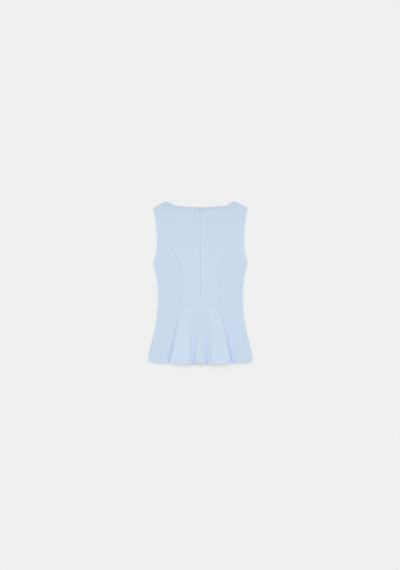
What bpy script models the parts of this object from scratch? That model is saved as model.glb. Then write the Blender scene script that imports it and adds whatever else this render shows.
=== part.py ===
"""A sleeveless peplum top, laid flat on a surface with its back up.

Sizes are in millimetres and become metres where a mesh is made. X runs across the garment,
Y from hem to neck and Z up from the surface it lies on. A height is measured up from the
lowest point of the hem. Cloth is a wall of one thickness: the front lies on the surface,
the back lies on the front, and the flutes of the back peplum stand over both.
"""
import math

import bpy
import numpy as np
from mathutils import Vector

# Driving sizes
MM = 0.001
FULL_LENGTH = 651.0         # from the lowest point of the hem to the neck points
CLOTH = 1.4                 # thickness of the cloth wall
SEAM_GAP = 0.3              # between two pieces that are sewn or lie together
REST = CLOTH + SEAM_GAP     # underside of a back piece that lies on the front
WAIST_HEIGHT = 239.0        # of the seam that joins bodice and peplum
WAIST_HALF = 80.0           # half of that seam, from the middle to a princess seam
NECK_POINT = (138.0, 651.0)
SHOULDER_TIP = (187.2, 625.2)
PRINCESS_TOP = (172.2, 504.0)
UNDERARM = (187.2, 406.0)
HEM_CORNER = (208.6, 18.0)

# Upper armhole, from the shoulder tip to the princess seam
UPPER_ARMHOLE = (
    # half width, height, how far inside it the front stays
    (*SHOULDER_TIP, 0.0),
    (180.2, 591.0, 1.8),
    (174.6, 547.0, 2.5),
    (*PRINCESS_TOP, 2.5),
)
# Lower armhole, from the princess seam to the underarm
LOWER_ARMHOLE = (
    # half width, height, how far inside it the front stays
    (*PRINCESS_TOP, 2.5),
    (174.0, 463.0, 2.5),
    (178.4, 434.0, 2.0),
    (184.0, 418.0, 1.0),
    (*UNDERARM, 0.0),
)
SIDE_SEAM = (
    # half width, height
    HEM_CORNER,
    (200.6, 63.0),
    (188.2, 111.0),
    (175.3, 175.0),
    (169.3, 223.0),
    (168.0, 255.0),
    (169.2, 303.0),
    (174.9, 351.0),
    (182.0, 383.0),
    UNDERARM,
)
PRINCESS_SEAM = (
    # distance from the middle, height
    (WAIST_HALF, WAIST_HEIGHT),
    (72.4, 283.0),
    (69.6, 317.0),
    (70.0, 349.0),
    (81.0, 402.0),
    (104.0, 447.0),
    (138.0, 484.0),
    PRINCESS_TOP,
)
BACK_NECK = (
    # distance from the middle, height
    (0.0, 626.8),
    (10.0, 629.0),
    (30.0, 629.8),
    (60.0, 631.2),
    (90.0, 633.8),
    (106.0, 636.6),
    (119.0, 641.6),
    NECK_POINT,
)
FRONT_NECK = (
    # distance from the middle, height
    (0.0, 612.5),
    (40.0, 614.0),
    (80.0, 620.0),
    (112.0, 634.0),
    NECK_POINT,
)
SIDE_HEM = (
    # distance from the middle, height
    (108.0, 6.4),
    (132.0, 7.0),
    (156.0, 8.0),
    (180.0, 10.5),
    (197.0, 13.8),
    HEM_CORNER,
)

# Flutes of the back peplum, from the middle outwards. A row is one line that runs from the
# waist seam to the hem; the left and right sides have their own places and heights.
FLUTES = (
    # line, x at the waist, x at the hem left and right, height over the surface at the hem
    # left and right, height of the hem, how far below the waist seam the fold breaks
    ("middle crest", 0.0, 0.0, 0.0, 12.5, 12.5, 0.0, 70.0),
    ("middle side", 7.0, 14.5, 14.0, 10.2, 10.6, 0.6, 80.0),
    ("valley", 15.0, 27.0, 26.0, 3.4, 3.2, 1.8, 96.0),
    ("valley foot", 27.0, 34.5, 33.5, 4.6, 4.8, 1.8, 96.0),
    ("inner edge", 35.0, 39.0, 38.5, 10.0, 10.4, 1.2, 58.0),
    ("inner shoulder", 41.5, 46.5, 46.0, 14.0, 14.4, 0.8, 50.0),
    ("flute top inner", 52.0, 66.0, 64.0, 16.7, 17.0, 1.2, 46.0),
    ("flute top outer", 65.0, 97.0, 96.0, 17.0, 17.4, 2.8, 46.0),
    ("outer shoulder", 73.5, 114.5, 114.0, 14.6, 15.0, 4.8, 46.0),
    ("outer edge", 79.0, 123.5, 123.0, 9.6, 9.8, 6.6, 46.0),
)
FLARE_POWER = 1.25          # how the flutes widen from the waist seam to the hem
FLARE_SOFT = 0.25           # how softly a fold breaks before it grows evenly
OVERHANG = 12.0             # how far the outer edge of a flute hangs over its seam at the hem
OVERHANG_BREAK = 84.0       # below the waist seam, where it begins to hang over
TUCK_SHARE = 0.42           # of the overhang, where the cloth turns in under the edge
TUCK_RISE = 1.5             # of the cloth there above its seam, at the hem
SEAM_LIFT_END = 62.0        # below the waist seam, where the insert lies fully on the side back
SEAM_EASE = 0.8             # added to the seam's gap while the insert rises over the side back
EASE_FROM, EASE_TO = 30.0, 150.0    # below the waist seam: fully eased, and no longer eased
LAP = 3.0                   # how far the side back runs under the insert past its seam
LAP_FROM, LAP_TO = 110.0, 170.0     # below the waist seam, where that lap grows

# Lie of the back on the front
CENTRE_RISE = 1.6           # of the back over its rest along the middle, over the zip
EDGE_SLOPE = 70.0           # width over which it comes down to the side and armhole edges
SHOULDER_SLOPE = 34.0       # width over which it comes down to the shoulder seams
SIDE_CREST = 6.2            # rise at the hem of the soft fold in each side back
SIDE_CREST_PLACE = 0.60     # of the width from the flute's seam to the side seam
SIDE_CREST_WIDTH = 0.20     # of the same width
SIDE_CREST_BREAK = 185.0    # height of the place where that fold begins
SIDE_SEAM_CALM = 0.2        # of the width beside the side seam, where it dies out
FRONT_HEM_UP = 3.0          # of the front's hem over the back's

# Zip
ZIP_END_HEIGHT = 266.0
ZIP_GAP_WIDE = 0.85         # from the middle to each back edge beside the slider
ZIP_GAP_FROM = 570.0        # height from which the edges open to that width
ZIP_GAP_TO = 606.0
CHAIN_WIDTH = 5.2
CHAIN_THICK = 1.1
SLIDER_LOW = 616.5
SLIDER_HIGH = 626.0
SLIDER_WIDTH = 6.0
SLIDER_THICK = 1.2
HINGE_HEIGHT = 622.4        # of the loop's middle above the hem
LOOP_INNER = 1.0
LOOP_OUTER = 2.0
LOOP_WIDTH = 1.2
STEM_INSET = 0.1            # of the stem inside the loop's width
STEM_SHORTER = 0.3          # of the stem than the loop, towards the hem and the neck
PULL_THICK = 0.9
PULL_LENGTH = 13.4          # from the hinge to the tab's end
PULL_EYE_HALF = 1.0
PULL_EYE_END = 2.5
PULL_NECK = 1.2             # straight part of the tab past its eye
PULL_NECK_HALF = 1.9
PULL_CORNER = 0.4
PULL_WIDE_HALF = 2.4
ROUND_STEPS = 24

# Numbers of steps across and along the pieces
NECK_STEPS = 9
SHOULDER_STEPS = 3
PRINCESS_STEPS = 16
ARMHOLE_STEPS = 6
SIDE_COLUMNS = 12
PEPLUM_ROWS = 15
FLUTE_STEPS = 3             # between two lines of the table

CLOTH_COLOUR = (0.597, 0.716, 0.855)
HIDDEN_COLOUR = (0.560, 0.680, 0.820)
COIL_COLOUR = (0.500, 0.610, 0.740)
PAINT_COLOUR = (0.430, 0.540, 0.680)
CLOTH_ROUGHNESS = 0.85
COIL_ROUGHNESS = 0.6
PAINT_ROUGHNESS = 0.45
SHARP_ANGLE = 40.0          # edges that turn more than this are not shaded smooth


def clear_scene():
    for thing in list(bpy.data.objects):
        bpy.data.objects.remove(thing, do_unlink=True)


def soft_step(share):
    """Goes from 0 to 1 with level ends."""
    share = np.clip(share, 0.0, 1.0)
    return share * share * (3.0 - 2.0 * share)


def flare(share):
    """Starts softly at 0, then grows evenly to 1."""
    share = np.clip(share, 0.0, 1.0)
    return share * share * (1.0 + FLARE_SOFT) / (share + FLARE_SOFT)


def spline(knots, steps):
    """A smooth curve through the knots, with the same number of steps in each span.

    The direction at a knot leans to that of its shorter span, so close knots do not overshoot.
    """
    knots = np.asarray(knots, dtype=float)
    span = np.linalg.norm(np.diff(knots, axis=0), axis=1)[:, None]
    chord = np.diff(knots, axis=0) / span
    inner = (chord[:-1] * span[1:] + chord[1:] * span[:-1]) / (span[:-1] + span[1:])
    first, last = 1.5 * chord[:1] - 0.5 * inner[:1], 1.5 * chord[-1:] - 0.5 * inner[-1:]
    lead = np.vstack([first, inner, last])[:, None]
    t = (np.arange(steps) / steps)[None, :, None]
    start, end, size = knots[:-1, None], knots[1:, None], span[:, None]
    spans = ((2.0 * t ** 3 - 3.0 * t ** 2 + 1.0) * start + (3.0 * t ** 2 - 2.0 * t ** 3) * end
             + size * ((t ** 3 - 2.0 * t ** 2 + t) * lead[:-1] + (t ** 3 - t ** 2) * lead[1:]))
    return np.vstack([spans.reshape(-1, knots.shape[1]), knots[-1:]])


def curve(rows, count):
    """The smooth line through a table's rows, cut into equal lengths."""
    fine = spline([row[:2] for row in rows], 20)
    length = np.concatenate([[0.0], np.cumsum(np.linalg.norm(np.diff(fine, axis=0), axis=1))])
    marks = np.linspace(0.0, length[-1], count + 1)
    return np.column_stack([np.interp(marks, length, fine[:, k]) for k in (0, 1)])


def straight(start, end, count):
    share = np.linspace(0.0, 1.0, count + 1)[:, None]
    return np.asarray(start) * (1.0 - share) + np.asarray(end) * share


def join(*lines):
    """Lines that follow each other, as one."""
    return np.vstack([lines[0]] + [line[1:] for line in lines[1:]])


def shifted(line, distance):
    """The line moved to its left by a distance, square to itself."""
    along = np.gradient(line, axis=0)
    along /= np.linalg.norm(along, axis=1)[:, None]
    return line + distance * np.column_stack([-along[:, 1], along[:, 0]])


def coons(bottom, top, left, right):
    """Fills four edges with a grid, rows from bottom to top."""
    u = np.linspace(0.0, 1.0, len(bottom))[None, :, None]
    v = np.linspace(0.0, 1.0, len(left))[:, None, None]
    across = (1.0 - u) * left[:, None] + u * right[:, None]
    along = (1.0 - v) * bottom[None] + v * top[None]
    corners = ((1.0 - u) * (1.0 - v) * bottom[0] + u * (1.0 - v) * bottom[-1]
               + (1.0 - u) * v * top[0] + u * v * top[-1])
    return across + along - corners


def half_width(height):
    """Half the back's width at a height, by its armhole and side seam."""
    rows = [spline([row[:2] for row in table], 20)
            for table in (SIDE_SEAM, LOWER_ARMHOLE[::-1], UPPER_ARMHOLE[::-1])]
    line = join(*rows)
    return np.interp(height, line[:, 1], line[:, 0])


def below_waist(height):
    return np.maximum(WAIST_HEIGHT - height, 0.0)


def edge_place(height):
    """Distance from the middle of a flute's outer edge, left and right alike."""
    share = below_waist(height) / WAIST_HEIGHT
    row = FLUTES[-1]
    hem_x = 0.5 * (row[2] + row[3])
    return row[1] + (hem_x - row[1]) * share ** FLARE_POWER


def overhang(height):
    return OVERHANG * flare((below_waist(height) - OVERHANG_BREAK) / (WAIST_HEIGHT - OVERHANG_BREAK))


def seam_place(height):
    """Distance from the middle of the seam between the insert and a side back."""
    narrow = (WAIST_HALF - FLUTES[-1][1]) * (1.0 - soft_step(below_waist(height) / WAIST_HEIGHT))
    return edge_place(height) + narrow - overhang(height)


def rise(x, height):
    """How far the back's underside lies above its rest, at a distance from the middle."""
    x = np.abs(x)
    side = half_width(height) - x
    shoulder = np.asarray(SHOULDER_TIP) - np.asarray(NECK_POINT)
    slope = shoulder[1] / shoulder[0]
    drop = (NECK_POINT[1] + slope * (x - NECK_POINT[0]) - height) / math.hypot(1.0, slope)
    lie = CENTRE_RISE * soft_step(side / EDGE_SLOPE) * soft_step(drop / SHOULDER_SLOPE)
    lie = lie * (1.0 - soft_step(below_waist(height) / SEAM_LIFT_END))
    inner = seam_place(height)
    share = (x - inner) / np.maximum(half_width(height) - inner, 1.0)
    crest = np.exp(-((share - SIDE_CREST_PLACE) / SIDE_CREST_WIDTH) ** 2)
    crest = crest * soft_step((1.0 - share) / SIDE_SEAM_CALM)
    return lie + SIDE_CREST * flare((SIDE_CREST_BREAK - height) / SIDE_CREST_BREAK) * crest


def make_material(name, colour, roughness, metallic):
    material = bpy.data.materials.new(name)
    material.use_nodes = True
    shader = material.node_tree.nodes["Principled BSDF"]
    shader.inputs["Base Color"].default_value = (*colour, 1.0)
    shader.inputs["Roughness"].default_value = roughness
    shader.inputs["Metallic"].default_value = metallic
    material.diffuse_color = (*colour, 1.0)
    return material


def add_object(name, points, faces, material, smooth=True):
    """Makes one object; the points are across, height above the hem and height above the surface."""
    points = np.asarray(points, dtype=float).reshape(-1, 3)
    places = np.column_stack([points[:, 0], points[:, 1] - FULL_LENGTH / 2.0, points[:, 2]]) * MM
    mesh = bpy.data.meshes.new(name)
    mesh.from_pydata([tuple(place) for place in places], [], faces)
    mesh.materials.append(material)
    mesh.validate()
    if smooth:
        mesh.shade_smooth()
        mesh.set_sharp_from_angle(angle=math.radians(SHARP_ANGLE))
    thing = bpy.data.objects.new(name, mesh)
    bpy.context.scene.collection.objects.link(thing)
    return thing


def wall(name, lower, upper, material):
    """A closed cloth wall between two grids of the same size."""
    rows, columns = lower.shape[:2]
    index = np.arange(rows * columns).reshape(rows, columns)
    corners = (index[:-1, :-1], index[:-1, 1:], index[1:, 1:], index[1:, :-1])
    quads = np.stack(corners, axis=-1).reshape(-1, 4)
    above = quads + rows * columns
    rim = np.concatenate([index[0], index[1:, -1], index[-1, -2::-1], index[-2:0:-1, 0]])
    onward = np.roll(rim, -1)
    sides = np.column_stack([rim, onward, onward + rows * columns, rim + rows * columns])
    faces = np.vstack([quads[:, ::-1], above, sides]).tolist()
    return add_object(name, np.concatenate([lower.reshape(-1, 3), upper.reshape(-1, 3)]), faces, material)


def slab(name, outline, low, high, material):
    """A flat piece with a counter-clockwise outline."""
    count = len(outline)
    points = np.vstack([np.column_stack([outline, np.full(count, z)]) for z in (low, high)])
    ring = list(range(count))
    faces = [ring[::-1], [k + count for k in ring]]
    faces += [[k, (k + 1) % count, (k + 1) % count + count, k + count] for k in ring]
    return add_object(name, points, faces, material)


def mirrored(grid):
    """A right-hand grid turned into its left-hand twin, facing the same way."""
    return grid[:, ::-1] * np.array([-1.0, 1.0, 1.0][:grid.shape[-1]])


def draped(plan):
    """Lower and upper faces of a back piece over its flat grid."""
    under = REST + rise(plan[..., 0], plan[..., 1])
    lower = np.concatenate([plan, under[..., None]], axis=-1)
    return lower, lower + np.array([0.0, 0.0, CLOTH])


def princess_line():
    return curve(PRINCESS_SEAM, PRINCESS_STEPS)


def centre_back_edge(heights):
    """The zip's edge of a centre back, which opens beside the slider."""
    wide = soft_step((heights - ZIP_GAP_FROM) / (ZIP_GAP_TO - ZIP_GAP_FROM))
    place = SEAM_GAP / 2.0 + (ZIP_GAP_WIDE - SEAM_GAP / 2.0) * wide
    return np.column_stack([place, heights])


def centre_back_plan():
    outer = join(princess_line(), curve(UPPER_ARMHOLE[::-1], ARMHOLE_STEPS))
    seam = shifted(princess_line(), SEAM_GAP / 2.0)
    outer[:len(seam)] = seam
    inner = centre_back_edge(np.linspace(WAIST_HEIGHT, BACK_NECK[0][1], len(outer)))
    top = join(curve(BACK_NECK, NECK_STEPS), straight(NECK_POINT, SHOULDER_TIP, SHOULDER_STEPS))
    top[0] = inner[-1]
    bottom = straight(inner[0], outer[0], NECK_STEPS + SHOULDER_STEPS)
    return coons(bottom, top, inner, outer)


def side_inner_edge():
    """From the hem to the armhole: the insert's seam, then the princess seam."""
    heights = WAIST_HEIGHT * (1.0 - np.linspace(1.0, 0.0, PEPLUM_ROWS + 1))
    heights = np.maximum(heights, SIDE_HEM[0][1])
    below = below_waist(heights)
    ease = SEAM_EASE * soft_step(below / EASE_FROM) * soft_step((EASE_TO - below) / (EASE_TO - LAP_FROM))
    lap = LAP * soft_step((below - LAP_FROM) / (LAP_TO - LAP_FROM))
    place = seam_place(heights) + SEAM_GAP / 2.0 + ease - lap
    seam = np.column_stack([place, heights])
    princess = shifted(princess_line(), -SEAM_GAP / 2.0)
    return join(seam, princess)


def side_back_plan():
    inner = side_inner_edge()
    outer = curve(SIDE_SEAM, len(inner) - 1)
    bottom = curve(SIDE_HEM, SIDE_COLUMNS)
    bottom[0] = inner[0]
    top = curve(LOWER_ARMHOLE, SIDE_COLUMNS)
    top[0] = inner[-1]
    return coons(bottom, top, inner, outer)


def flute_section(height_share, side):
    """One row of lines of the insert from the middle to its seam, at a share of the way down."""
    depth = height_share * WAIST_HEIGHT
    lines = []
    for _, waist_x, left_x, right_x, left_z, right_z, hem, fold_break in FLUTES:
        hem_x, hem_z = (left_x, left_z) if side < 0 else (right_x, right_z)
        x = waist_x + (hem_x - waist_x) * height_share ** FLARE_POWER
        height = (WAIST_HEIGHT - SEAM_GAP) * (1.0 - height_share) + hem * height_share
        flat = REST + CLOTH / 2.0 + rise(x, max(height, WAIST_HEIGHT))
        grown = flare((depth - fold_break) / (WAIST_HEIGHT - fold_break))
        lines.append([x, height, flat + (hem_z - flat) * grown])
    return lines


def seam_lines(edge, height_share):
    """The two lines after a flute's outer edge: where the cloth turns in, and its seam."""
    x, height, z = edge
    depth = height_share * WAIST_HEIGHT
    level = WAIST_HEIGHT - depth
    hang = float(overhang(level))
    narrow = (WAIST_HALF - FLUTES[-1][1] - SEAM_GAP / 2.0) * (1.0 - soft_step(height_share))
    seam_x = x + narrow - hang
    lift = REST * soft_step(depth / SEAM_LIFT_END)
    seam_z = REST + CLOTH / 2.0 + lift + float(rise(seam_x, max(level, SIDE_HEM[0][1])))
    tuck_x = x + 0.6 * narrow - TUCK_SHARE * hang
    tuck_z = seam_z + TUCK_RISE * hang / OVERHANG
    tuck_z = min(tuck_z, 0.5 * (seam_z + z)) if z > seam_z else seam_z
    return [[tuck_x, height, tuck_z], [seam_x, height, seam_z]]


def peplum_middle():
    """The insert's middle surface, rows from the hem to the waist seam."""
    rows = []
    for share in np.linspace(1.0, 0.0, PEPLUM_ROWS + 1):
        halves = []
        for side in (-1, 1):
            lines = flute_section(share, side)
            lines += seam_lines(lines[-1], share)
            halves.append(np.array(lines) * np.array([side, 1.0, 1.0]))
        section = np.vstack([halves[0][:0:-1], halves[1]])
        rows.append(spline(section, FLUTE_STEPS))
    return np.array(rows)


def peplum_walls():
    """Both faces of the insert, half the cloth out from its middle surface on either side."""
    middle = peplum_middle()
    along = np.gradient(middle, axis=1)[..., [0, 2]]
    along /= np.linalg.norm(along, axis=-1)[..., None]
    out = np.stack([-along[..., 1], np.zeros(along.shape[:2]), along[..., 0]], axis=-1)
    return middle - out * CLOTH / 2.0, middle + out * CLOTH / 2.0


def make_back(cloth):
    lower, upper = draped(centre_back_plan())
    wall("back_centre_right", lower, upper, cloth)
    wall("back_centre_left", mirrored(lower), mirrored(upper), cloth)
    lower, upper = draped(side_back_plan())
    wall("back_side_right", lower, upper, cloth)
    wall("back_side_left", mirrored(lower), mirrored(upper), cloth)
    lower, upper = peplum_walls()
    wall("back_peplum", lower, upper, cloth)


def front_armhole(table, count):
    rows = [(half - inside, height) for half, height, inside in table]
    return curve(rows, count)


def front_corner(up):
    """Where the front's princess seam meets its armhole, just above or below that seam."""
    inside = UPPER_ARMHOLE[-1][2]
    line = np.asarray(PRINCESS_TOP) - np.asarray(PRINCESS_SEAM[-2])
    corner = np.asarray(PRINCESS_TOP) - line * inside / line[0]
    return corner + np.array([0.0, up * np.linalg.norm(line) / line[0]])


def front_seam(count):
    """The front insert's seam, straight from the waist to the hem under the back's."""
    hem_x = float(seam_place(SIDE_HEM[0][1]))
    return straight((WAIST_HALF, WAIST_HEIGHT), (hem_x, SIDE_HEM[0][1] + FRONT_HEM_UP), count)


def make_front(cloth):
    princess = shifted(princess_line(), SEAM_GAP / 2.0)
    armhole = front_armhole(UPPER_ARMHOLE[::-1], ARMHOLE_STEPS)
    princess[-1] = armhole[0] = front_corner(SEAM_GAP / 2.0)
    neck = curve(FRONT_NECK, NECK_STEPS)
    right = join(princess[:-1], armhole, np.array([SHOULDER_TIP, NECK_POINT]), neck[::-1])
    bodice = np.vstack([right, right[-2::-1] * np.array([-1.0, 1.0])])
    slab("front_centre", bodice, 0.0, CLOTH, cloth)

    seam = front_seam(PEPLUM_ROWS // 3) - np.array([SEAM_GAP / 2.0, 0.0])
    seam[0, 1] -= SEAM_GAP
    insert = np.vstack([seam * np.array([-1.0, 1.0]), seam[::-1]])
    slab("front_peplum", insert, 0.0, CLOTH, cloth)

    seam = front_seam(PEPLUM_ROWS // 3)[::-1] + np.array([SEAM_GAP / 2.0, 0.0])
    princess = shifted(princess_line(), -SEAM_GAP / 2.0)
    armhole = front_armhole(LOWER_ARMHOLE, SIDE_COLUMNS // 2)
    princess[-1] = armhole[0] = front_corner(-SEAM_GAP / 2.0)
    side = curve(SIDE_SEAM, PEPLUM_ROWS)[::-1]
    lift = FRONT_HEM_UP * (1.0 - soft_step((side[:, 1] - HEM_CORNER[1]) / SIDE_SEAM[1][1]))
    side = side + np.column_stack([np.zeros(len(side)), lift])
    hem = curve(SIDE_HEM, SIDE_COLUMNS // 2)[::-1] + np.array([0.0, FRONT_HEM_UP])
    hem[-1] = seam[0]
    outline = np.vstack([hem[1:-1], seam[:-1], princess[:-1], armhole, side[1:]])
    slab("front_side_right", outline[::-1], 0.0, CLOTH, cloth)
    slab("front_side_left", outline * np.array([-1.0, 1.0]), 0.0, CLOTH, cloth)


def box(name, low, high, material):
    """A block between two corners: across, height above the hem, height above the surface."""
    corners = [(x, y, z) for z in (low[2], high[2]) for y in (low[1], high[1]) for x in (low[0], high[0])]
    faces = [(0, 2, 3, 1), (4, 5, 7, 6), (0, 1, 5, 4), (1, 3, 7, 5), (3, 2, 6, 7), (2, 0, 4, 6)]
    return add_object(name, corners, faces, material, smooth=False)


def apply_boolean(thing, other, operation):
    """Joins or cuts a solid with another, which is used up."""
    modifier = thing.modifiers.new("shape", "BOOLEAN")
    modifier.operation = operation
    modifier.solver = "EXACT"
    modifier.object = other
    seen = thing.evaluated_get(bpy.context.evaluated_depsgraph_get())
    shaped = bpy.data.meshes.new_from_object(seen)
    thing.modifiers.clear()
    thing.data = shaped
    bpy.data.objects.remove(other, do_unlink=True)


def disc_across(name, radius, width, height, z, material):
    """A short round bar whose axis runs across the garment."""
    angle = np.linspace(0.0, 2.0 * math.pi, ROUND_STEPS, endpoint=False)
    ring = [np.column_stack([np.full(ROUND_STEPS, x), height + radius * np.cos(angle),
                             z + radius * np.sin(angle)]) for x in (-width / 2.0, width / 2.0)]
    count = ROUND_STEPS
    near = list(range(count))
    faces = [near[::-1], [k + count for k in near]]
    faces += [[k, (k + 1) % count, (k + 1) % count + count, k + count] for k in near]
    return add_object(name, np.vstack(ring), faces, material)


def hinge_level():
    """Height of the loop's middle over the surface: its rim just clears the cloth."""
    return REST + CENTRE_RISE + CLOTH + SEAM_GAP + LOOP_OUTER


def make_zip(coil, paint):
    half = CHAIN_WIDTH / 2.0
    box("zip_chain", (-half, ZIP_END_HEIGHT, REST),
        (half, SLIDER_LOW - SEAM_GAP, REST + CHAIN_THICK), coil)

    level = hinge_level()
    half = SLIDER_WIDTH / 2.0
    slider = box("zip_slider", (-half, SLIDER_LOW, REST),
                 (half, SLIDER_HIGH, REST + SLIDER_THICK), paint)
    across = LOOP_WIDTH / 2.0 - STEM_INSET
    along = LOOP_OUTER - STEM_SHORTER
    stem = box("stem", (-across, HINGE_HEIGHT - along, REST + SLIDER_THICK / 2.0),
               (across, HINGE_HEIGHT + along, level - (LOOP_INNER + LOOP_OUTER) / 2.0), paint)
    apply_boolean(slider, stem, "UNION")
    loop = disc_across("loop", LOOP_OUTER, LOOP_WIDTH, HINGE_HEIGHT, level, paint)
    hole = disc_across("hole", LOOP_INNER, 2.0 * LOOP_WIDTH, HINGE_HEIGHT, level, paint)
    apply_boolean(loop, hole, "DIFFERENCE")
    apply_boolean(slider, loop, "UNION")

    make_pull(paint, level)


def pull_outline():
    """The tab in its own plane: narrow at the eye, widest near its round end."""
    angle = np.linspace(0.0, math.pi, ROUND_STEPS // 2 + 1)
    low = PULL_LENGTH - PULL_WIDE_HALF
    end = np.column_stack([PULL_WIDE_HALF * np.cos(angle), low + PULL_WIDE_HALF * np.sin(angle)])
    start = PULL_THICK / 2.0
    neck = PULL_EYE_END + PULL_NECK
    right = [(PULL_NECK_HALF - PULL_CORNER, -start), (PULL_NECK_HALF, 0.0), (PULL_NECK_HALF, neck)]
    left = [(-x, y) for x, y in reversed(right)]
    return np.array(right + end.tolist() + left)


def make_pull(paint, level):
    """The tab, made at its hinge and tipped down until its end lies on the cloth."""
    outline = pull_outline()
    count = len(outline)
    half = PULL_THICK / 2.0
    points = [(x, -y, z) for z in (-half, half) for x, y in outline]
    ring = list(range(count))
    faces = [ring, [k + count for k in ring[::-1]]]
    faces += [[(k + 1) % count, k, k + count, (k + 1) % count + count] for k in ring]
    offset = FULL_LENGTH / 2.0
    pull = add_object("zip_pull", [(x, y + offset, z) for x, y, z in points], faces, paint)
    eye = box("eye", (-PULL_EYE_HALF, offset - PULL_EYE_END, -PULL_THICK),
              (PULL_EYE_HALF, offset - half, PULL_THICK), paint)
    apply_boolean(pull, eye, "DIFFERENCE")
    drop = level - half - (REST + CENTRE_RISE + CLOTH + SEAM_GAP)
    pull.rotation_euler = (math.asin(drop / PULL_LENGTH), 0.0, 0.0)
    pull.location = Vector((0.0, HINGE_HEIGHT - FULL_LENGTH / 2.0, level)) * MM


def main():
    clear_scene()
    cloth = make_material("crepe", CLOTH_COLOUR, CLOTH_ROUGHNESS, 0.0)
    hidden = make_material("crepe_front", HIDDEN_COLOUR, CLOTH_ROUGHNESS, 0.0)
    coil = make_material("zip_coil", COIL_COLOUR, COIL_ROUGHNESS, 0.0)
    paint = make_material("painted_zip", PAINT_COLOUR, PAINT_ROUGHNESS, 0.0)
    make_back(cloth)
    make_front(hidden)
    make_zip(coil, paint)


main()
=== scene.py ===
import math

import bpy
import numpy as np
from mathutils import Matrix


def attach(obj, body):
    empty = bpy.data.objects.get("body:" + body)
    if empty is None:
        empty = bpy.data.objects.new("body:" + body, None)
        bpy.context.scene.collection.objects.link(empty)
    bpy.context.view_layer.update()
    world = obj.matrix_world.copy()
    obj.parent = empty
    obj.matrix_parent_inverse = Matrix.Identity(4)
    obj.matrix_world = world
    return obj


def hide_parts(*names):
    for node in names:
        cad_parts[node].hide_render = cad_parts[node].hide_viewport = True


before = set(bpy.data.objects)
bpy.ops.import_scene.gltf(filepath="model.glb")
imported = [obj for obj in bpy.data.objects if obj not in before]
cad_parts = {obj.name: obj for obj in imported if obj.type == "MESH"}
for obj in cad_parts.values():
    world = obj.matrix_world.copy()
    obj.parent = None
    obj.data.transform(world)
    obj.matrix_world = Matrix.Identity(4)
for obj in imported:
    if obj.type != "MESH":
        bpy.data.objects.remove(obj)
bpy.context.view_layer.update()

# Sizes are in millimetres: x across the back, a height up from the lowest point of the hem, z up from the table
mm = 0.001
garment = {
    "length": 651.0,          # hem to neck points
    "cloth": 1.2,             # crepe as it shows, a little thinner than the wall it stands for
    "wall": 1.4,              # cloth wall in the frame
    "seamOpen": 0.02,         # between pieces that are sewn together
    "under": 1.7,             # underside of the back over the table, with the front between
    "waist": 239.0,           # height of the waist seam
    "waistHalf": 80.0,
    "edgeRound": 0.6,         # radius of a turned edge
    "seamRound": 0.3,         # and of cloth that rolls into a seam
}

# The back's cut, right-hand side, each point as distance from the middle and height
cut = {
    "upperArmhole": [(172.2, 504.0), (174.6, 547.0), (180.2, 591.0), (187.2, 625.2)],
    "lowerArmhole": [(172.2, 504.0), (174.0, 463.0), (178.4, 434.0), (184.0, 418.0), (187.2, 406.0)],
    "sideSeam": [(208.6, 13.6), (200.6, 63.0), (188.2, 111.0), (175.3, 175.0), (169.3, 223.0),
                 (168.0, 255.0), (169.2, 303.0), (174.9, 351.0), (182.0, 383.0), (187.2, 406.0)],
    "princess": [(80.0, 239.0), (72.4, 283.0), (69.6, 317.0), (70.0, 349.0),
                 (81.0, 402.0), (104.0, 447.0), (138.0, 484.0), (172.2, 504.0)],
    "neck": [(0.0, 624.2), (5.0, 624.7), (10.0, 626.6), (15.5, 628.2), (30.0, 628.7), (60.0, 630.0),
             (90.0, 632.8), (106.0, 635.8), (119.0, 641.2), (138.0, 651.0)],
    "shoulder": [(138.0, 651.0), (187.2, 625.2)],
    "sideHem": [(108.0, 4.8), (132.0, 5.0), (156.0, 5.8), (180.0, 7.4), (197.0, 9.4), (208.6, 13.6)],
}
frontCut = {
    "upperArmhole": [(169.7, 502.5), (172.1, 547.0), (178.4, 591.0), (187.2, 625.2)],
    "lowerArmhole": [(169.7, 502.5), (171.5, 463.0), (176.4, 434.0), (183.0, 418.0), (187.2, 406.0)],
    "neck": [(0.0, 612.5), (40.0, 613.5), (80.0, 618.0), (112.0, 630.5), (129.0, 642.5), (138.0, 651.0)],
    "hemUp": 3.0,             # the front's hem over the back's
}


def softStep(share):
    share = np.clip(share, 0.0, 1.0)      # 3t^2 - 2t^3, level at both ends
    return share * share * (3.0 - 2.0 * share)


def flare(share, soft=0.25):
    share = np.clip(share, 0.0, 1.0)      # starts softly like t^2, then grows evenly to 1
    return share * share * (1.0 + soft) / (share + soft)


def spline(knots, steps):
    # Hermite curve through knots[..., k, :]; the direction at a knot leans to that of its shorter span
    knots = np.asarray(knots, dtype=float)
    step = np.diff(knots, axis=-2)
    span = np.linalg.norm(step, axis=-1, keepdims=True)
    chord = step / span
    before, after = chord[..., :-1, :], chord[..., 1:, :]
    inner = (before * span[..., 1:, :] + after * span[..., :-1, :]) / (span[..., 1:, :] + span[..., :-1, :])
    first = 1.5 * chord[..., :1, :] - 0.5 * inner[..., :1, :]
    last = 1.5 * chord[..., -1:, :] - 0.5 * inner[..., -1:, :]
    lead = np.concatenate([first, inner, last], axis=-2)[..., None, :]
    t = (np.arange(steps) / steps)[:, None]
    start, end, size = knots[..., :-1, None, :], knots[..., 1:, None, :], span[..., None, :]
    spans = ((2 * t ** 3 - 3 * t ** 2 + 1) * start + (3 * t ** 2 - 2 * t ** 3) * end
             + size * ((t ** 3 - 2 * t ** 2 + t) * lead[..., :-1, :, :] + (t ** 3 - t ** 2) * lead[..., 1:, :, :]))
    flat = spans.reshape(*knots.shape[:-2], -1, knots.shape[-1])
    return np.concatenate([flat, knots[..., -1:, :]], axis=-2)


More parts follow.
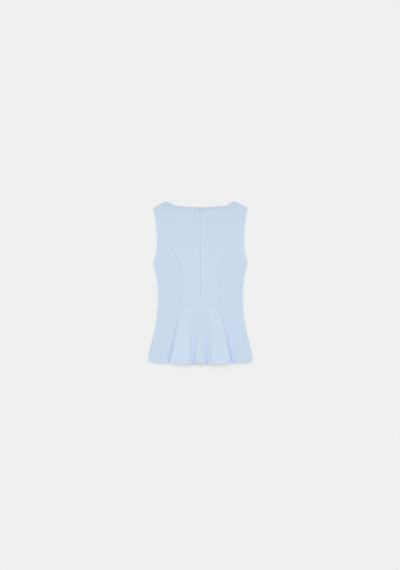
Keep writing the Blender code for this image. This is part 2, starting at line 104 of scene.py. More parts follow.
def lineLength(line):
    return np.concatenate([[0.0], np.cumsum(np.linalg.norm(np.diff(line, axis=0), axis=1))])


def along(knots, marks):
    # The smooth line through the knots, read at shares of its length
    line = spline(knots, 30) if len(knots) > 2 else np.asarray(knots, dtype=float)
    length = lineLength(line)
    return np.column_stack([np.interp(marks * length[-1], length, line[:, k]) for k in (0, 1)])


def gradedMarks(length, fine, coarse, growth=1.55):
    # Shares from 0 to 1: steps grow from fine at both ends to coarse in the middle
    steps = fine * growth ** np.arange(math.ceil(math.log(coarse / fine) / math.log(growth)))
    ends = np.concatenate([[0.0], np.cumsum(steps)])
    count = max(2, math.ceil((length - 2.0 * ends[-1]) / coarse))
    middle = np.linspace(ends[-1], length - ends[-1], count + 1)
    return np.concatenate([ends[:-1], middle, length - ends[-2::-1]]) / length


def joined(*lines):
    return np.concatenate([lines[0]] + [line[1:] for line in lines[1:]])


def shifted(line, distance):
    # The line moved to its left, square to itself
    lead = np.gradient(line, axis=0)
    lead /= np.linalg.norm(lead, axis=1)[:, None]
    return line + distance * np.column_stack([-lead[:, 1], lead[:, 0]])


def coons(bottom, top, left, right, u, v):
    # Bilinear blend of four edges: ruled across + ruled along - the corners' own blend
    u, v = u[None, :, None], v[:, None, None]
    across = (1.0 - u) * left[:, None] + u * right[:, None]
    upward = (1.0 - v) * bottom[None] + v * top[None]
    corners = ((1.0 - u) * (1.0 - v) * bottom[0] + u * (1.0 - v) * bottom[-1]
               + (1.0 - u) * v * top[0] + u * v * top[-1])
    return across + upward - corners


def nearLine(plan, line):
    # Distance of each point of plan[..., 2] to a polyline, and how far along the line that is
    points = plan.reshape(-1, 1, 2)
    start, step = line[None, :-1], np.diff(line, axis=0)[None]
    share = np.clip(((points - start) * step).sum(-1) / (step ** 2).sum(-1), 0.0, 1.0)
    gap = np.linalg.norm(points - start - share[..., None] * step, axis=-1)
    best = gap.argmin(axis=1)
    row = np.arange(len(best))
    length = lineLength(line)
    travelled = length[best] + share[row, best] * np.diff(length)[best]
    return gap[row, best].reshape(plan.shape[:-1]), travelled.reshape(plan.shape[:-1])


sideLine = joined(spline(cut["sideSeam"], 20), spline(cut["lowerArmhole"][::-1], 20),
                  spline(cut["upperArmhole"], 20))
outline = joined(sideLine, np.array(cut["shoulder"])[::-1])


def halfWidth(height):
    return np.interp(height, sideLine[:, 1], sideLine[:, 0])


# Peplum insert: a row is a line from the waist seam to the hem, from the middle outwards. Each has its x at the
# waist, at the hem left and right, its height over the table at the hem left and right, the height of the hem
# there, how far below the waist seam its fold breaks, and how far it sinks right at the hem.
peplum = {
    "lines": {
        "middleCrest": (0.0, 0.0, 0.0, 12.2, 12.2, 0.0, 60.0, 1.0),
        "middleSide": (4.5, 15.4, 15.2, 10.8, 11.0, 0.2, 62.0, 0.8),
        "valley": (10.0, 28.2, 27.8, 2.4, 2.4, 0.2, 52.0, 0.0),
        "valleyFoot": (20.0, 34.8, 34.8, 8.6, 9.0, 0.2, 50.0, 1.8),
        "innerEdge": (37.4, 40.0, 41.0, 13.8, 14.2, 0.4, 42.0, 1.8),
        "innerShoulder": (43.0, 47.4, 48.2, 15.6, 16.0, 0.3, 42.0, 2.4),
        "topInner": (52.0, 66.0, 65.0, 16.8, 17.0, 0.6, 42.0, 3.0),
        "topOuter": (65.0, 98.0, 98.0, 16.6, 16.8, 2.1, 46.0, 3.8),
        "outerShoulder": (76.2, 118.8, 120.0, 14.2, 14.4, 4.4, 56.0, 5.4),
        "outerEdge": (78.6, 123.0, 124.4, 10.4, 10.6, 5.2, 68.0, 4.4),
    },
    "hemReach": 28.0,         # over which a line sinks at the hem
    "flarePower": 1.2,       # how the flutes widen towards the hem
    "overhang": 12.0,         # of a flute's outer edge over its seam, at the hem
    "overhangBreak": 84.0,    # below the waist seam
    "tuckShare": 0.42,
    "tuckRise": 1.5,
    "liftFrom": 70.0,         # below the waist seam, where the insert starts to lie on the side back
    "liftEnd": 128.0,
    "lap": 3.0,               # of the side back under the insert
    "lapFrom": 130.0,
    "lapTo": 182.0,
}

# How the back lies on the front
lie = {
    "centre": 1.6,            # over the zip
    "centreEnd": 62.0,        # below the waist seam
    "edgeSlope": 70.0,
    "shoulderSlope": 34.0,
    "sideCrest": 7.6,
    "crestPlace": 0.60,
    "crestWidth": 0.23,       # on its outer side, as a share of the side back
    "crestInner": 0.33,
    "crestBreak": 185.0,
    "crestCalm": 0.2,
}

# Soft creases of the back: x, height, length, width, rise (a trough is below 0) and lean in degrees
creases = {
    "bladeRidgeLeft": (-108.0, 492.0, 92.0, 9.0, 0.95, 3.0),
    "bladeRidgeRight": (109.0, 494.0, 84.0, 8.5, 0.85, -3.0),
    "bladeHollowLeft": (-70.0, 500.0, 66.0, 17.0, -0.60, -24.0),
    "bladeHollowRight": (72.0, 503.0, 60.0, 16.0, -0.55, 22.0),
    "seamPullLeft": (-92.0, 404.0, 60.0, 7.0, 0.40, 30.0),
    "seamPullRight": (94.0, 400.0, 52.0, 7.5, 0.35, -34.0),
    "waistLeft": (-52.0, 262.0, 74.0, 6.5, 0.36, 4.0),
    "waistInnerLeft": (-31.0, 256.0, 58.0, 5.5, -0.28, 2.0),
    "waistRight": (57.0, 266.0, 80.0, 7.0, 0.34, -5.0),
    "waistInnerRight": (28.0, 254.0, 50.0, 5.0, -0.26, -1.0),
    "sideWaistLeft": (-118.0, 262.0, 120.0, 15.0, 0.55, 5.0),
    "sideWaistRight": (121.0, 268.0, 128.0, 16.0, 0.60, -6.0),
    "sideLowLeft": (-103.0, 168.0, 96.0, 8.0, -0.50, 11.0),
    "sideLowRight": (104.0, 162.0, 90.0, 8.5, -0.50, -12.0),
    "neckLeft": (-44.0, 598.0, 50.0, 16.0, 0.40, 62.0),
    "neckRight": (50.0, 600.0, 46.0, 15.0, 0.36, -58.0),
    "shoulderLeft": (-150.0, 590.0, 56.0, 12.0, -0.40, 24.0),
    "shoulderRight": (151.0, 588.0, 60.0, 12.0, -0.42, -26.0),
    "zipRippleLeft": (-14.0, 392.0, 40.0, 7.0, 0.20, 18.0),
    "zipRippleRight": (15.0, 438.0, 44.0, 7.0, 0.20, -16.0),
}


def belowWaist(height):
    return np.maximum(garment["waist"] - height, 0.0)


def overhang(height):
    start = peplum["overhangBreak"]
    return peplum["overhang"] * flare((belowWaist(height) - start) / (garment["waist"] - start))


def seamPlace(height):
    # Distance from the middle of the seam between the insert and a side back
    line = peplum["lines"]["outerEdge"]
    share = belowWaist(height) / garment["waist"]
    edge = line[0] + (0.5 * (line[1] + line[2]) - line[0]) * share ** peplum["flarePower"]
    return edge + (garment["waistHalf"] - line[0]) * (1.0 - softStep(share)) - overhang(height)


def rise(x, height):
    # How far the back lies over its rest: highest along the zip, down at the edges, with a soft fold in each side back
    x = np.abs(x)
    side = halfWidth(height) - x
    (neckX, neckY), (tipX, tipY) = cut["shoulder"]
    slope = (tipY - neckY) / (tipX - neckX)
    drop = (neckY + slope * (x - neckX) - height) / math.hypot(1.0, slope)
    level = lie["centre"] * softStep(side / lie["edgeSlope"]) * softStep(drop / lie["shoulderSlope"])
    level = level * (1.0 - softStep(belowWaist(height) / lie["centreEnd"]))
    inner = seamPlace(height)
    share = (x - inner) / np.maximum(halfWidth(height) - inner, 1.0)
    width = np.where(share < lie["crestPlace"], lie["crestInner"], lie["crestWidth"])
    crest = np.exp(-((share - lie["crestPlace"]) / width) ** 2)
    crest = crest * softStep((1.0 - share) / lie["crestCalm"])
    return level + lie["sideCrest"] * flare((lie["crestBreak"] - height) / lie["crestBreak"]) * crest


def creased(x, height):
    # Each crease is rise * exp(-(across / width)^2) * exp(-(along / (0.5 * length))^4)
    total = np.zeros(np.broadcast(x, height).shape)
    for placeX, placeY, length, width, top, lean in creases.values():
        turn = math.radians(lean)
        lengthwise = (height - placeY) * math.cos(turn) + (x - placeX) * math.sin(turn)
        across = (x - placeX) * math.cos(turn) - (height - placeY) * math.sin(turn)
        total += top * np.exp(-(across / width) ** 2 - (lengthwise / (0.5 * length)) ** 4)
    return total


def uneven(x, height, seed, size=0.16, shortest=34.0, longest=120.0, waves=12):
    # A sum of sine waves of many lengths and directions, as cloth that was pressed and laid by hand
    draw = np.random.default_rng(seed)
    total = np.zeros(np.broadcast(x, height).shape)
    for length, turn, phase in zip(draw.uniform(shortest, longest, waves), draw.uniform(0.0, math.pi, waves),
                                   draw.uniform(0.0, 2.0 * math.pi, waves)):
        total += np.sin((x * math.cos(turn) + height * math.sin(turn)) * 2.0 * math.pi / length + phase)
    return total * size / math.sqrt(waves)


seams = {
    "sink": 0.24,             # how far both edges roll down into a seam
    "rollWidth": 1.5,
    # How strongly each seam rolls, by height
    "princess": [(239.0, 0.1), (300.0, 0.1), (358.0, 0.3), (384.0, 2.6), (446.0, 3.4), (466.0, 2.2), (486.0, 1.6), (504.0, 1.6)],
    "zip": [(262.0, 0.35), (270.0, 2.2), (586.0, 2.4), (602.0, 0.7), (627.0, 0.5)],
    "waist": [(239.0, 0.05)],
    "insert": [(100.0, 0.0), (130.0, 0.5), (162.0, 1.6), (178.0, 1.3), (200.0, 0.6), (225.0, 0.2), (239.0, 0.1)],
    "plain": [(0.0, 0.8)],
    "puckerLength": 8.5,
    "puckerHeight": 0.055,
    "puckerReach": 7.0,
    "allowance": 11.0,        # pressed open inside, shows as a faint step
    "allowanceStep": 0.07,
    "hemDepth": 32.0,         # turned up inside
    "hemStep": 0.28,
    "edgeStep": 0.22,         # neck and armholes are a little thicker where they are turned
    "edgeDepth": 7.0,
    "neckRoll": 3.1,          # how far the neck edge bends down to the table, except by the zip and shoulders
    "neckRollDepth": 30.0,
    "neckRollFrom": 3.2,
    "neckRollTo": 134.0,
    "edgeSink": 1.3,          # how far the back bends down to the table along the sides, armholes and shoulders
    "edgeSinkWidth": 2.2,
    "edgeThin": 1.18,         # and how much the front is pressed thinner under it there
    "edgeThinWidth": 2.6,
    # Painted shade: how far it reaches from the neck edge, and where and how strongly it darkens the middle of the
    # peplum
    "neckPaintedShadeReach": 19.0,
    "middleHalf": 40.0,
    "middleTop": 236.0,
    "middlePaintedShade": 0.7,
    # top of the painted blue tint in the shade beside the flutes
    "paintedBlueShadeTop": 196.0,
}


def roundShare(distance, radius):
    # Half a cloth's thickness near an edge, as a share: a quarter circle of that radius
    inward = 1.0 - np.clip(distance / radius, 0.0, 1.0)
    return 0.2 + 0.8 * np.sqrt(np.maximum(1.0 - inward ** 2, 0.0))


def layCloth(plan, seamLines, freeLines, hemLine, seed, level=None):
    # Lower and upper faces of a piece: middle height + and - half the cloth. Seams roll down and pucker,
    # free edges are thicker and rounded, the hem is double. seamLines are pairs of a seam's kind and its line
    x, height = plan[..., 0], plan[..., 1]
    seamGap = [nearLine(plan, line) for kind, line in seamLines]
    freeGap = [nearLine(plan, line)[0] for line in freeLines + ([] if hemLine is None else [hemLine])]
    calm = softStep(np.minimum.reduce([gap for gap, travelled in seamGap] + freeGap) / 22.0)
    middle = garment["under"] + garment["wall"] / 2.0 + rise(x, height) if level is None else level + np.zeros_like(x)
    if level is None:
        folded = np.stack([np.abs(x), height], axis=-1)
        middle = middle - seams["edgeSink"] * np.exp(-(nearLine(folded, outline)[0] / seams["edgeSinkWidth"]) ** 2)
        neckGap = nearLine(folded, spline(cut["neck"], 12))[0]
        bent = softStep((np.abs(x) - seams["neckRollFrom"]) / 11.0) * softStep((seams["neckRollTo"] - np.abs(x)) / 30.0)
        bent = bent * np.clip(1.0 - neckGap / seams["neckRollDepth"], 0.0, 1.0) ** 2
        middle = middle - seams["neckRoll"] * bent
        middle = middle + creased(x, height) * softStep((halfWidth(height) - np.abs(x)) / 16.0)
        middle = middle + uneven(x, height, seed) * calm
    half = np.full(x.shape, garment["cloth"] / 2.0)
    rounded = np.ones(x.shape)
    for (kind, line), (gap, travelled) in zip(seamLines, seamGap):
        strength = np.interp(height, *zip(*seams[kind]))
        rounded = rounded * roundShare(gap, garment["seamRound"] * strength)
        middle = middle - seams["sink"] * strength * np.exp(-(gap / seams["rollWidth"]) ** 2)
        wave = np.sin(travelled * 2.0 * math.pi / seams["puckerLength"] + 1.7 * np.sin(travelled / 23.0))
        middle = middle + seams["puckerHeight"] * wave * np.exp(-(gap / seams["puckerReach"]) ** 2)
        half = half + 0.5 * seams["allowanceStep"] * softStep((seams["allowance"] - gap) / 2.0)
    for gap in freeGap[:len(freeLines)]:
        half = half + 0.5 * seams["edgeStep"] * softStep((seams["edgeDepth"] - gap) / 2.5)
    if hemLine is not None:
        half = half + 0.5 * seams["hemStep"] * softStep((seams["hemDepth"] - freeGap[-1]) / 1.8)
    for gap in freeGap:
        rounded = rounded * roundShare(gap, garment["edgeRound"])
    half = half * rounded
    lower = np.concatenate([plan, (middle - half)[..., None]], axis=-1)
    upper = np.concatenate([plan, (middle + half)[..., None]], axis=-1)
    return lower, upper


def layBoth(plan, seamLines, freeLines, hemLine, seed):
    # A right-hand piece and its left-hand twin, each with its own creases
    mirror = np.array([-1.0, 1.0])
    right = layCloth(plan, seamLines, freeLines, hemLine, seed)
    left = layCloth(plan * mirror, [(kind, line * mirror) for kind, line in seamLines],
                    [line * mirror for line in freeLines], None if hemLine is None else hemLine * mirror, seed + 1)
    return right, tuple(face[:, ::-1] for face in left)


def shellFaces(rows, columns):
    # Quads of an upper grid, a lower grid turned over, and the rim between them
    index = np.arange(rows * columns).reshape(rows, columns)
    quads = np.stack((index[:-1, :-1], index[:-1, 1:], index[1:, 1:], index[1:, :-1]), axis=-1).reshape(-1, 4)
    rim = np.concatenate([index[0], index[1:, -1], index[-1, -2::-1], index[-2:0:-1, 0]])
    onward = np.roll(rim, -1)
    count = rows * columns
    sides = np.column_stack([rim, onward, onward + count, rim + count])
    return np.vstack([quads[:, ::-1], quads + count, sides])


def toMetres(points):
    points = np.asarray(points, dtype=float).reshape(-1, 3)
    return np.column_stack([points[:, 0], points[:, 1] - garment["length"] / 2.0, points[:, 2]]) * mm


def newMesh(name, points, faces, material, smooth=True):
    mesh = bpy.data.meshes.new(name)
    faces = np.asarray(faces)
    mesh.vertices.add(len(points))
    mesh.vertices.foreach_set("co", np.ascontiguousarray(points, dtype=np.float32).ravel())
    mesh.loops.add(faces.size)
    mesh.loops.foreach_set("vertex_index", faces.astype(np.int32).ravel())
    mesh.polygons.add(len(faces))
    mesh.polygons.foreach_set("loop_start", np.arange(0, faces.size, faces.shape[1], dtype=np.int32))
    mesh.polygons.foreach_set("use_smooth", np.full(len(faces), smooth))
    mesh.update(calc_edges=True)
    mesh.validate()
    mesh.materials.append(material)
    thing = bpy.data.objects.new(name, mesh)
    bpy.context.scene.collection.objects.link(thing)
    return thing


def paintedShadeShare(plan):
    # Painted shade: where the cloth is painted a little darker, along the turned neck edge, exp(-(distance / reach)^3),
    # and in the middle of the peplum, between its two flutes, where shade falls
    x, height = np.abs(plan[..., 0]), plan[..., 1]
    gap = nearLine(np.stack([x, height], axis=-1), spline(cut["neck"], 12))[0]
    middle = softStep((seams["middleHalf"] - x) / 6.0) * softStep((seams["middleTop"] - height) / 60.0)
    return np.exp(-(gap / seams["neckPaintedShadeReach"]) ** 3) + seams["middlePaintedShade"] * middle


def paintedBlueShadeShare(plan):
    # Painted blue tint of shade: where the cloth is painted bluer, in the shade beside the flutes and in the valleys
    # between them
    x, height = np.abs(plan[..., 0]), plan[..., 1]
    low = softStep((seams["paintedBlueShadeTop"] - height) / 80.0)
    beside = np.exp(-((x - seamPlace(height) - 20.0) / 20.0) ** 2)
    valley = 0.8 * np.exp(-((x - 25.0) / 8.0) ** 2)
    return low * np.maximum(beside, valley)


def clothPiece(name, faces, node, material):
    lower, upper = faces
    points = toMetres(np.concatenate([lower.reshape(-1, 3), upper.reshape(-1, 3)]))
    thing = newMesh(name, points, shellFaces(*lower.shape[:2]), material)
    # Painted shade share for each point, read by the material
    mottleAndPaintedShade = thing.data.attributes.new("mottleAndPaintedShade", "FLOAT", "POINT")
    mottleAndPaintedShade.data.foreach_set("value", np.tile(paintedShadeShare(lower[..., :2]).ravel(), 2).astype(np.float32))
    # Painted blue tint of shade for each point, read by the material
    paintedBlueShade = thing.data.attributes.new("paintedBlueShade", "FLOAT", "POINT")
    paintedBlueShade.data.foreach_set("value", np.tile(paintedBlueShadeShare(lower[..., :2]).ravel(), 2).astype(np.float32))
    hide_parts(node)
    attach(thing, "garment")
    return thing


def mirrored(faces):
    # A right-hand piece as its left-hand twin, facing the same way
    return tuple(grid[:, ::-1] * np.array([-1.0, 1.0, 1.0]) for grid in faces)


grid = {"fine": 0.2, "coarse": 3.2}


def marksFor(*lengths):
    # Graded shares for the parts of one edge, and the same marks as shares of the whole edge
    parts = [gradedMarks(length, grid["fine"], grid["coarse"]) for length in lengths]
    start = np.concatenate([[0.0], np.cumsum(lengths)])
    whole = joined(*[start[k] + part * lengths[k] for k, part in enumerate(parts)]) / start[-1]
    return parts, whole


# Centre backs

centreBack = {
    # From the middle to an edge by height: sewn, along the closed zip, and open beside the slider
    "opening": [(239.0, 0.05), (264.0, 0.05), (268.0, 0.2), (588.0, 0.2), (600.0, 0.1), (608.0, 0.14), (616.0, 0.36), (624.0, 0.46)],
    "sheet": {"flat": (0.190, 0.415), "area": 0.0524, "restsOn": ["front_centre", "zip_chain"]},
}


def centreBackPlan():
    parts, v = marksFor(300.0, 122.0)
    princess = along(cut["princess"], parts[0])
    outer = joined(shifted(princess, garment["seamOpen"] / 2.0), along(cut["upperArmhole"], parts[1]))
    heights = garment["waist"] + v * (cut["neck"][0][1] - garment["waist"])
    inner = np.column_stack([np.interp(heights, *zip(*centreBack["opening"])), heights])
    parts, u = marksFor(142.0, 56.0)
    top = joined(along(cut["neck"], parts[0]), along(cut["shoulder"], parts[1]))
    top[0] = inner[-1]
    bottom = inner[0] + u[:, None] * (outer[0] - inner[0])
    seamEnd = len(princess)
    edges = {"princess": outer[:seamEnd], "armhole": outer[seamEnd - 1:], "zip": inner,
             "neck": top[:len(parts[0])], "shoulder": top[len(parts[0]) - 1:], "waist": bottom}
    return coons(bottom, top, inner, outer, u, v), edges


def makeCentreBacks(material):
    plan, edges = centreBackPlan()
    seamLines = [("princess", edges["princess"]), ("zip", edges["zip"]), ("plain", edges["shoulder"]),
                 ("waist", edges["waist"])]
    right, left = layBoth(plan, seamLines, [edges["armhole"], edges["neck"]], None, seed=11)
    clothPiece("crepe_back_centre_right", right, "back_centre_right", material)
    clothPiece("crepe_back_centre_left", left, "back_centre_left", material)
    print("centre backs made")


# Side backs

sideBack = {
    "sheet": {"flat": (0.142, 0.500), "area": 0.0452},
}


def sideInner(heights):
    # The side back's edge beside and under the insert
    below = belowWaist(heights)
    lap = peplum["lap"] * softStep((below - peplum["lapFrom"]) / (peplum["lapTo"] - peplum["lapFrom"]))
    return np.column_stack([seamPlace(heights) + garment["seamOpen"] / 2.0 - lap, heights])


def sideBackPlan():
    parts, v = marksFor(237.0, 300.0)
    hemHeight = cut["sideHem"][0][1]
    lower = sideInner(hemHeight + parts[0] * (garment["waist"] - hemHeight))
    princess = shifted(along(cut["princess"], parts[1]), -garment["seamOpen"] / 2.0)
    inner = joined(lower, princess)
    outer = along(cut["sideSeam"], v)
    u = gradedMarks(100.0, grid["fine"], grid["coarse"])
    bottom = along(cut["sideHem"], u)
    bottom[0] = inner[0]
    top = along(cut["lowerArmhole"], u)
    top[0] = inner[-1]
    edges = {"inner": lower, "princess": princess, "side": outer, "hem": bottom, "armhole": top}
    return coons(bottom, top, inner, outer, u, v), edges


def makeSideBacks(material):
    plan, edges = sideBackPlan()
    seamLines = [("princess", edges["princess"]), ("insert", edges["inner"]), ("plain", edges["side"])]
    right, left = layBoth(plan, seamLines, [edges["armhole"]], edges["hem"], seed=21)
    for side, faces in (("right", right), ("left", left)):
        sheet = {**sideBack["sheet"], "restsOn": ["front_side_" + side]}
        clothPiece("crepe_back_side_" + side, faces, "back_side_" + side, material)
    print("side backs made")


# Back peplum

insert = {
    "spanSteps": 15,          # between two lines of the table
    "rowFine": 0.2,
    "rowCoarse": 3.2,
    # Narrow creases that run down from under the waist seam: line of the table, side, shift out from it, height of
    # the top end and of the lower end, width, rise
    "creases": {
        "innerLeft": ("innerEdge", -1, 0.0, 190.0, -30.0, 1.0, -1.2),
        "innerRight": ("innerEdge", 1, 0.0, 190.0, -30.0, 1.0, -1.0),
        "innerLowLeft": ("innerEdge", -1, 0.0, 166.0, -30.0, 1.1, -0.8),
        "innerLowRight": ("innerEdge", 1, 0.0, 166.0, -30.0, 1.2, -1.0),
        "besideLeft": ("innerEdge", -1, 12.0, 186.0, 84.0, 1.6, -0.7),
        "besideRight": ("innerEdge", 1, 15.0, 142.0, -30.0, 1.5, -0.8),
        "besideHighRight": ("innerEdge", 1, 8.0, 184.0, 96.0, 1.6, -0.7),
        "topLeft": ("topInner", -1, -5.0, 206.0, 112.0, 3.2, 0.22),
        "topRight": ("topInner", 1, -4.0, 208.0, 120.0, 3.4, 0.22),
        "streakLeft": ("topInner", -1, 6.0, 200.0, 70.0, 2.6, -0.20),
        "streakRight": ("topInner", 1, 7.0, 202.0, 60.0, 2.6, -0.18),
        "farLeft": ("topOuter", -1, -3.0, 196.0, 60.0, 3.4, 0.22),
        "farRight": ("topOuter", 1, -5.0, 198.0, 80.0, 3.4, 0.22),
        "valleyLeft": ("valley", -1, 2.0, 178.0, 60.0, 2.8, -0.24),
        "valleyRight": ("valley", 1, -1.0, 182.0, 70.0, 2.8, -0.22),
        "middleLeft": ("middleSide", -1, -4.0, 190.0, 90.0, 3.0, 0.16),
        "middleRight": ("middleSide", 1, -2.0, 186.0, 80.0, 3.0, 0.18),
    },
    "creaseFade": 26.0,       # length over which a crease starts and ends
    "sheet": {"flat": (0.345, 0.242), "area": 0.0560, "restsOn": ["front_peplum", "back_side_right", "back_side_left"]},
}


def insertKnots(share):
    # Lines of the table at shares of the way down, for the left and right sides, from one seam to the other
    depth = share * garment["waist"]
    level = garment["waist"] - depth
    sides = []
    for side in (-1, 1):
        lines = []
        for waistX, leftX, rightX, leftZ, rightZ, hem, foldBreak, sink in peplum["lines"].values():
            hemX, hemZ = (leftX, leftZ) if side < 0 else (rightX, rightZ)
            x = waistX + (hemX - waistX) * share ** peplum["flarePower"]
            height = (garment["waist"] - garment["seamOpen"] / 2.0) * (1.0 - share) + hem * share
            flat = garment["under"] + garment["wall"] / 2.0 + rise(x, np.maximum(height, garment["waist"]))
            grown = flare((depth - foldBreak) / (garment["waist"] - foldBreak))
            grown = grown - sink / hemZ * np.exp(-((garment["waist"] - depth) / peplum["hemReach"]) ** 2)
            lines.append(np.stack([x, height, flat + (hemZ - flat) * grown], axis=-1))
        x, height, z = lines[-1].T
        hang = overhang(level)
        edgeX = peplum["lines"]["outerEdge"][0]
        narrow = (garment["waistHalf"] - edgeX - garment["seamOpen"] / 2.0) * (1.0 - softStep(share))
        seamX = x + narrow - hang
        lift = garment["under"] * softStep((depth - peplum["liftFrom"]) / (peplum["liftEnd"] - peplum["liftFrom"]))
        seamZ = garment["under"] + garment["wall"] / 2.0 + lift + rise(seamX, np.maximum(level, cut["sideHem"][0][1]))
        tuckZ = seamZ + peplum["tuckRise"] * hang / peplum["overhang"]
        tuckZ = np.where(z > seamZ, np.minimum(tuckZ, 0.5 * (seamZ + z)), seamZ)
        lines.append(np.stack([x + 0.6 * narrow - peplum["tuckShare"] * hang, height, tuckZ], axis=-1))
        lines.append(np.stack([seamX, height, seamZ], axis=-1))
        sides.append(np.stack(lines, axis=1) * np.array([side, 1.0, 1.0]))
    return np.concatenate([sides[0][:, :0:-1], sides[1]], axis=1)


def gridTravel(points, axis):
    # Length along the grid lines from their start, and to their end
    step = np.linalg.norm(np.diff(points, axis=axis), axis=-1)
    start = np.cumsum(step, axis=axis)
    zero = np.zeros_like(np.take(start, [0], axis=axis))
    start = np.concatenate([zero, start], axis=axis)
    return start, np.take(start, [-1], axis=axis) - start


def gridNormals(points):
    # Cross product of the grid's two directions
    across, upward = np.gradient(points, axis=1), np.gradient(points, axis=0)
    normal = np.cross(across, upward)
    return normal / np.linalg.norm(normal, axis=-1, keepdims=True)


def insertFaces():
    share = 1.0 - gradedMarks(garment["waist"], insert["rowFine"], insert["rowCoarse"])
    middle = spline(insertKnots(share), insert["spanSteps"])
    fromHem, fromWaist = gridTravel(middle, 0)
    fromLeft, fromRight = gridTravel(middle, 1)
    normal = gridNormals(middle)
    push = uneven(fromLeft, middle[..., 1], seed=31, size=0.14, shortest=40.0)
    names = list(peplum["lines"])
    for line, side, shift, top, low, size, depth in insert["creases"].values():
        column = (len(names) + 1 + side * names.index(line)) * insert["spanSteps"]
        across = fromLeft - fromLeft[:, column:column + 1] - side * shift
        fade = insert["creaseFade"]
        ends = softStep((top - middle[..., 1]) / fade) * softStep((middle[..., 1] - low) / fade)
        push += depth * np.exp(-(across / size) ** 2) * ends
    push *= softStep(np.minimum(np.minimum(fromLeft, fromRight), fromWaist) / 24.0)
    beside = np.minimum(fromLeft, fromRight)
    push -= seams["sink"] * np.interp(middle[..., 1], *zip(*seams["insert"])) * np.exp(-(beside / seams["rollWidth"]) ** 2)
    strength = seams["waist"][0][1]
    push -= seams["sink"] * strength * np.exp(-(fromWaist / seams["rollWidth"]) ** 2)
    wave = np.sin(fromLeft * 2.0 * math.pi / seams["puckerLength"])
    push += seams["puckerHeight"] * wave * np.exp(-(fromWaist / seams["puckerReach"]) ** 2)
    half = garment["cloth"] / 2.0 + 0.5 * seams["hemStep"] * softStep((seams["hemDepth"] - fromHem) / 1.8)
    half = half + 0.5 * seams["allowanceStep"] * softStep((seams["allowance"] - fromWaist) / 2.0)
    sewn = np.minimum(np.minimum(fromLeft, fromRight), fromWaist)
    half = half * roundShare(sewn, garment["seamRound"] * strength) * roundShare(fromHem, garment["edgeRound"])
    middle = middle + normal * push[..., None]
    return middle - normal * half[..., None], middle + normal * half[..., None]


def makeInsert(material):
    clothPiece("crepe_back_peplum", insertFaces(), "back_peplum", material)
    print("peplum insert made")


# Front, which lies flat under the back


def frontFaces(plan, seamLines, freeLines, hemLine, seed):
    # As a back piece, but its underside is the flat table: only its edges are rounded off there
    lower, upper = layCloth(plan, seamLines, freeLines, hemLine, seed, level=garment["wall"] / 2.0)
    lines = [line for kind, line in seamLines] + freeLines + ([] if hemLine is None else [hemLine])
    edge = np.minimum.reduce([nearLine(plan, line)[0] for line in lines])
    lower[..., 2] = garment["wall"] / 2.0 * (1.0 - roundShare(edge, garment["edgeRound"]))
    gap = nearLine(np.stack([np.abs(plan[..., 0]), plan[..., 1]], axis=-1), outline)[0]
    thinned = seams["edgeThin"] * np.exp(-(gap / seams["edgeThinWidth"]) ** 2)
    upper[..., 2] = np.minimum(upper[..., 2], garment["wall"] - thinned)
    lower[..., 2] = np.minimum(lower[..., 2], 0.4 * upper[..., 2])
    return lower, upper


def frontCentrePlan():
    parts, v = marksFor(300.0, 122.0)
    princess = shifted(along(cut["princess"], parts[0]), garment["seamOpen"] / 2.0)
    princess[-1] = frontCut["upperArmhole"][0]
    right = joined(princess, along(frontCut["upperArmhole"], parts[1]))
    left = right * np.array([-1.0, 1.0])
    parts, u = marksFor(56.0, 282.0, 56.0)
    half = along(frontCut["neck"], np.abs(2.0 * parts[1] - 1.0))
    neck = half * np.where(parts[1] < 0.5, -1.0, 1.0)[:, None] ** np.array([1.0, 0.0])
    shoulder = along(cut["shoulder"], parts[2])
    top = joined(shoulder[::-1] * np.array([-1.0, 1.0]), neck, shoulder)
    bottom = left[0] + u[:, None] * (right[0] - left[0])
    seamEnd = len(princess)
    seamLines = [("plain", line) for line in (right[:seamEnd], left[:seamEnd], bottom, shoulder,
                                              shoulder * np.array([-1.0, 1.0]))]
    freeLines = [right[seamEnd - 1:], left[seamEnd - 1:], neck]
    return coons(bottom, top, left, right, u, v), seamLines, freeLines


def frontSidePlan():
    parts, v = marksFor(237.0, 300.0)
    up = frontCut["hemUp"]
    hemStart = (float(seamPlace(cut["sideHem"][0][1])) + garment["seamOpen"] / 2.0, cut["sideHem"][0][1] + up)
    lower = np.array(hemStart) + parts[0][:, None] * (
        np.array([garment["waistHalf"] + garment["seamOpen"] / 2.0, garment["waist"]]) - np.array(hemStart))
    princess = shifted(along(cut["princess"], parts[1]), -garment["seamOpen"] / 2.0)
    princess[-1] = frontCut["lowerArmhole"][0]
    inner = joined(lower, princess)
    outer = along(cut["sideSeam"], v)
    outer = outer + np.column_stack([np.zeros(len(outer)), up * (1.0 - softStep((outer[:, 1] - cut["sideSeam"][0][1]) / 63.0))])
    u = gradedMarks(100.0, grid["fine"], grid["coarse"])
    bottom = along(cut["sideHem"], u) + np.array([0.0, up])
    bottom[0], bottom[-1] = inner[0], outer[0]
    top = along(frontCut["lowerArmhole"], u)
    seamLines = [("plain", line) for line in (lower, princess, outer)]
    return coons(bottom, top, inner, outer, u, v), seamLines, [top], bottom


def frontInsertPlan():
    parts, v = marksFor(232.0)
    up = frontCut["hemUp"]
    gap = garment["seamOpen"]
    hem = np.array([float(seamPlace(cut["sideHem"][0][1])) - gap / 2.0, cut["sideHem"][0][1] + up])
    waist = np.array([garment["waistHalf"] - gap / 2.0, garment["waist"] - gap])
    right = hem + v[:, None] * (waist - hem)
    left = right * np.array([-1.0, 1.0])
    u = gradedMarks(200.0, grid["fine"], grid["coarse"])
    bottom = left[0] + u[:, None] * (right[0] - left[0])
    top = left[-1] + u[:, None] * (right[-1] - left[-1])
    return coons(bottom, top, left, right, u, v), [("plain", line) for line in (left, right, top)], [], bottom


